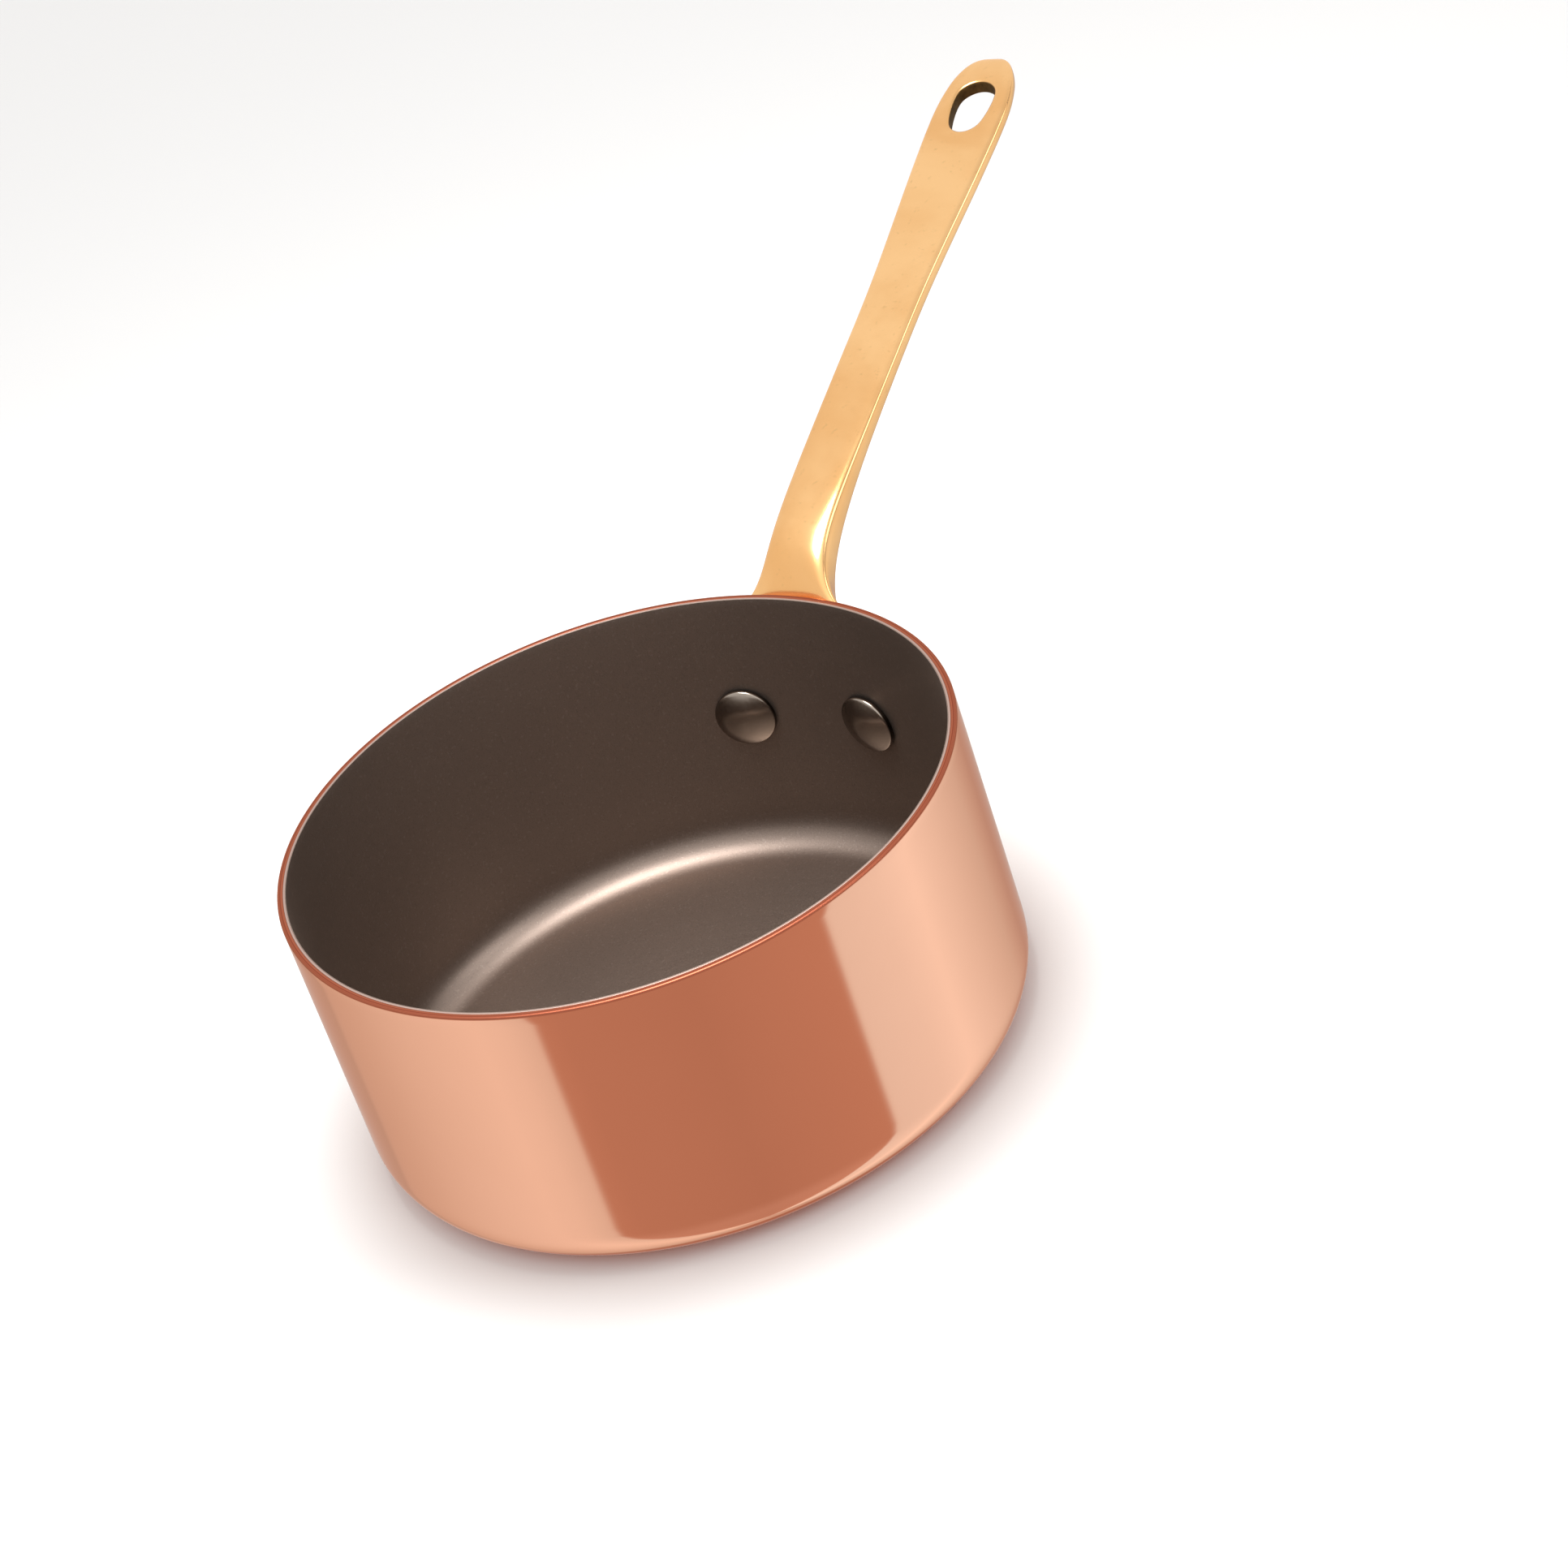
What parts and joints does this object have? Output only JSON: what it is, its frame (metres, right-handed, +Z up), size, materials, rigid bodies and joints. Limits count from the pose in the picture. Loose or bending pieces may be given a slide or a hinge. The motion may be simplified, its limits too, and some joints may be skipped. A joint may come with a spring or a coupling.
{
  "type": "saucepan",
  "caption": "Straight-sided copper saucepan with a dark non-stick inside and a long riveted brass handle with an oval hanging hole.",
  "frame": {"origin": "centre of the resting face under the pan", "axes": "+Z up, +X from the pan's axis towards the tip of the handle"},
  "size_m": [0.3145, 0.16, 0.1324],
  "materials": {
    "copper": "polished copper, faintly lathe-marked at the rim",
    "lining": "bare cut edge of the light-metal lining",
    "coating": "satin dark brown non-stick coating with a fine grain",
    "cast_brass": "polished cast brass",
    "rivet_steel": "polished dark steel"
  },
  "bodies": {
    "root": {"copper_body": "copper", "inner_lining": "lining", "nonstick_coating": "coating", "handle": "cast_brass", "rivet_left": "rivet_steel", "rivet_right": "rivet_steel"}
  },
  "joints": []
}
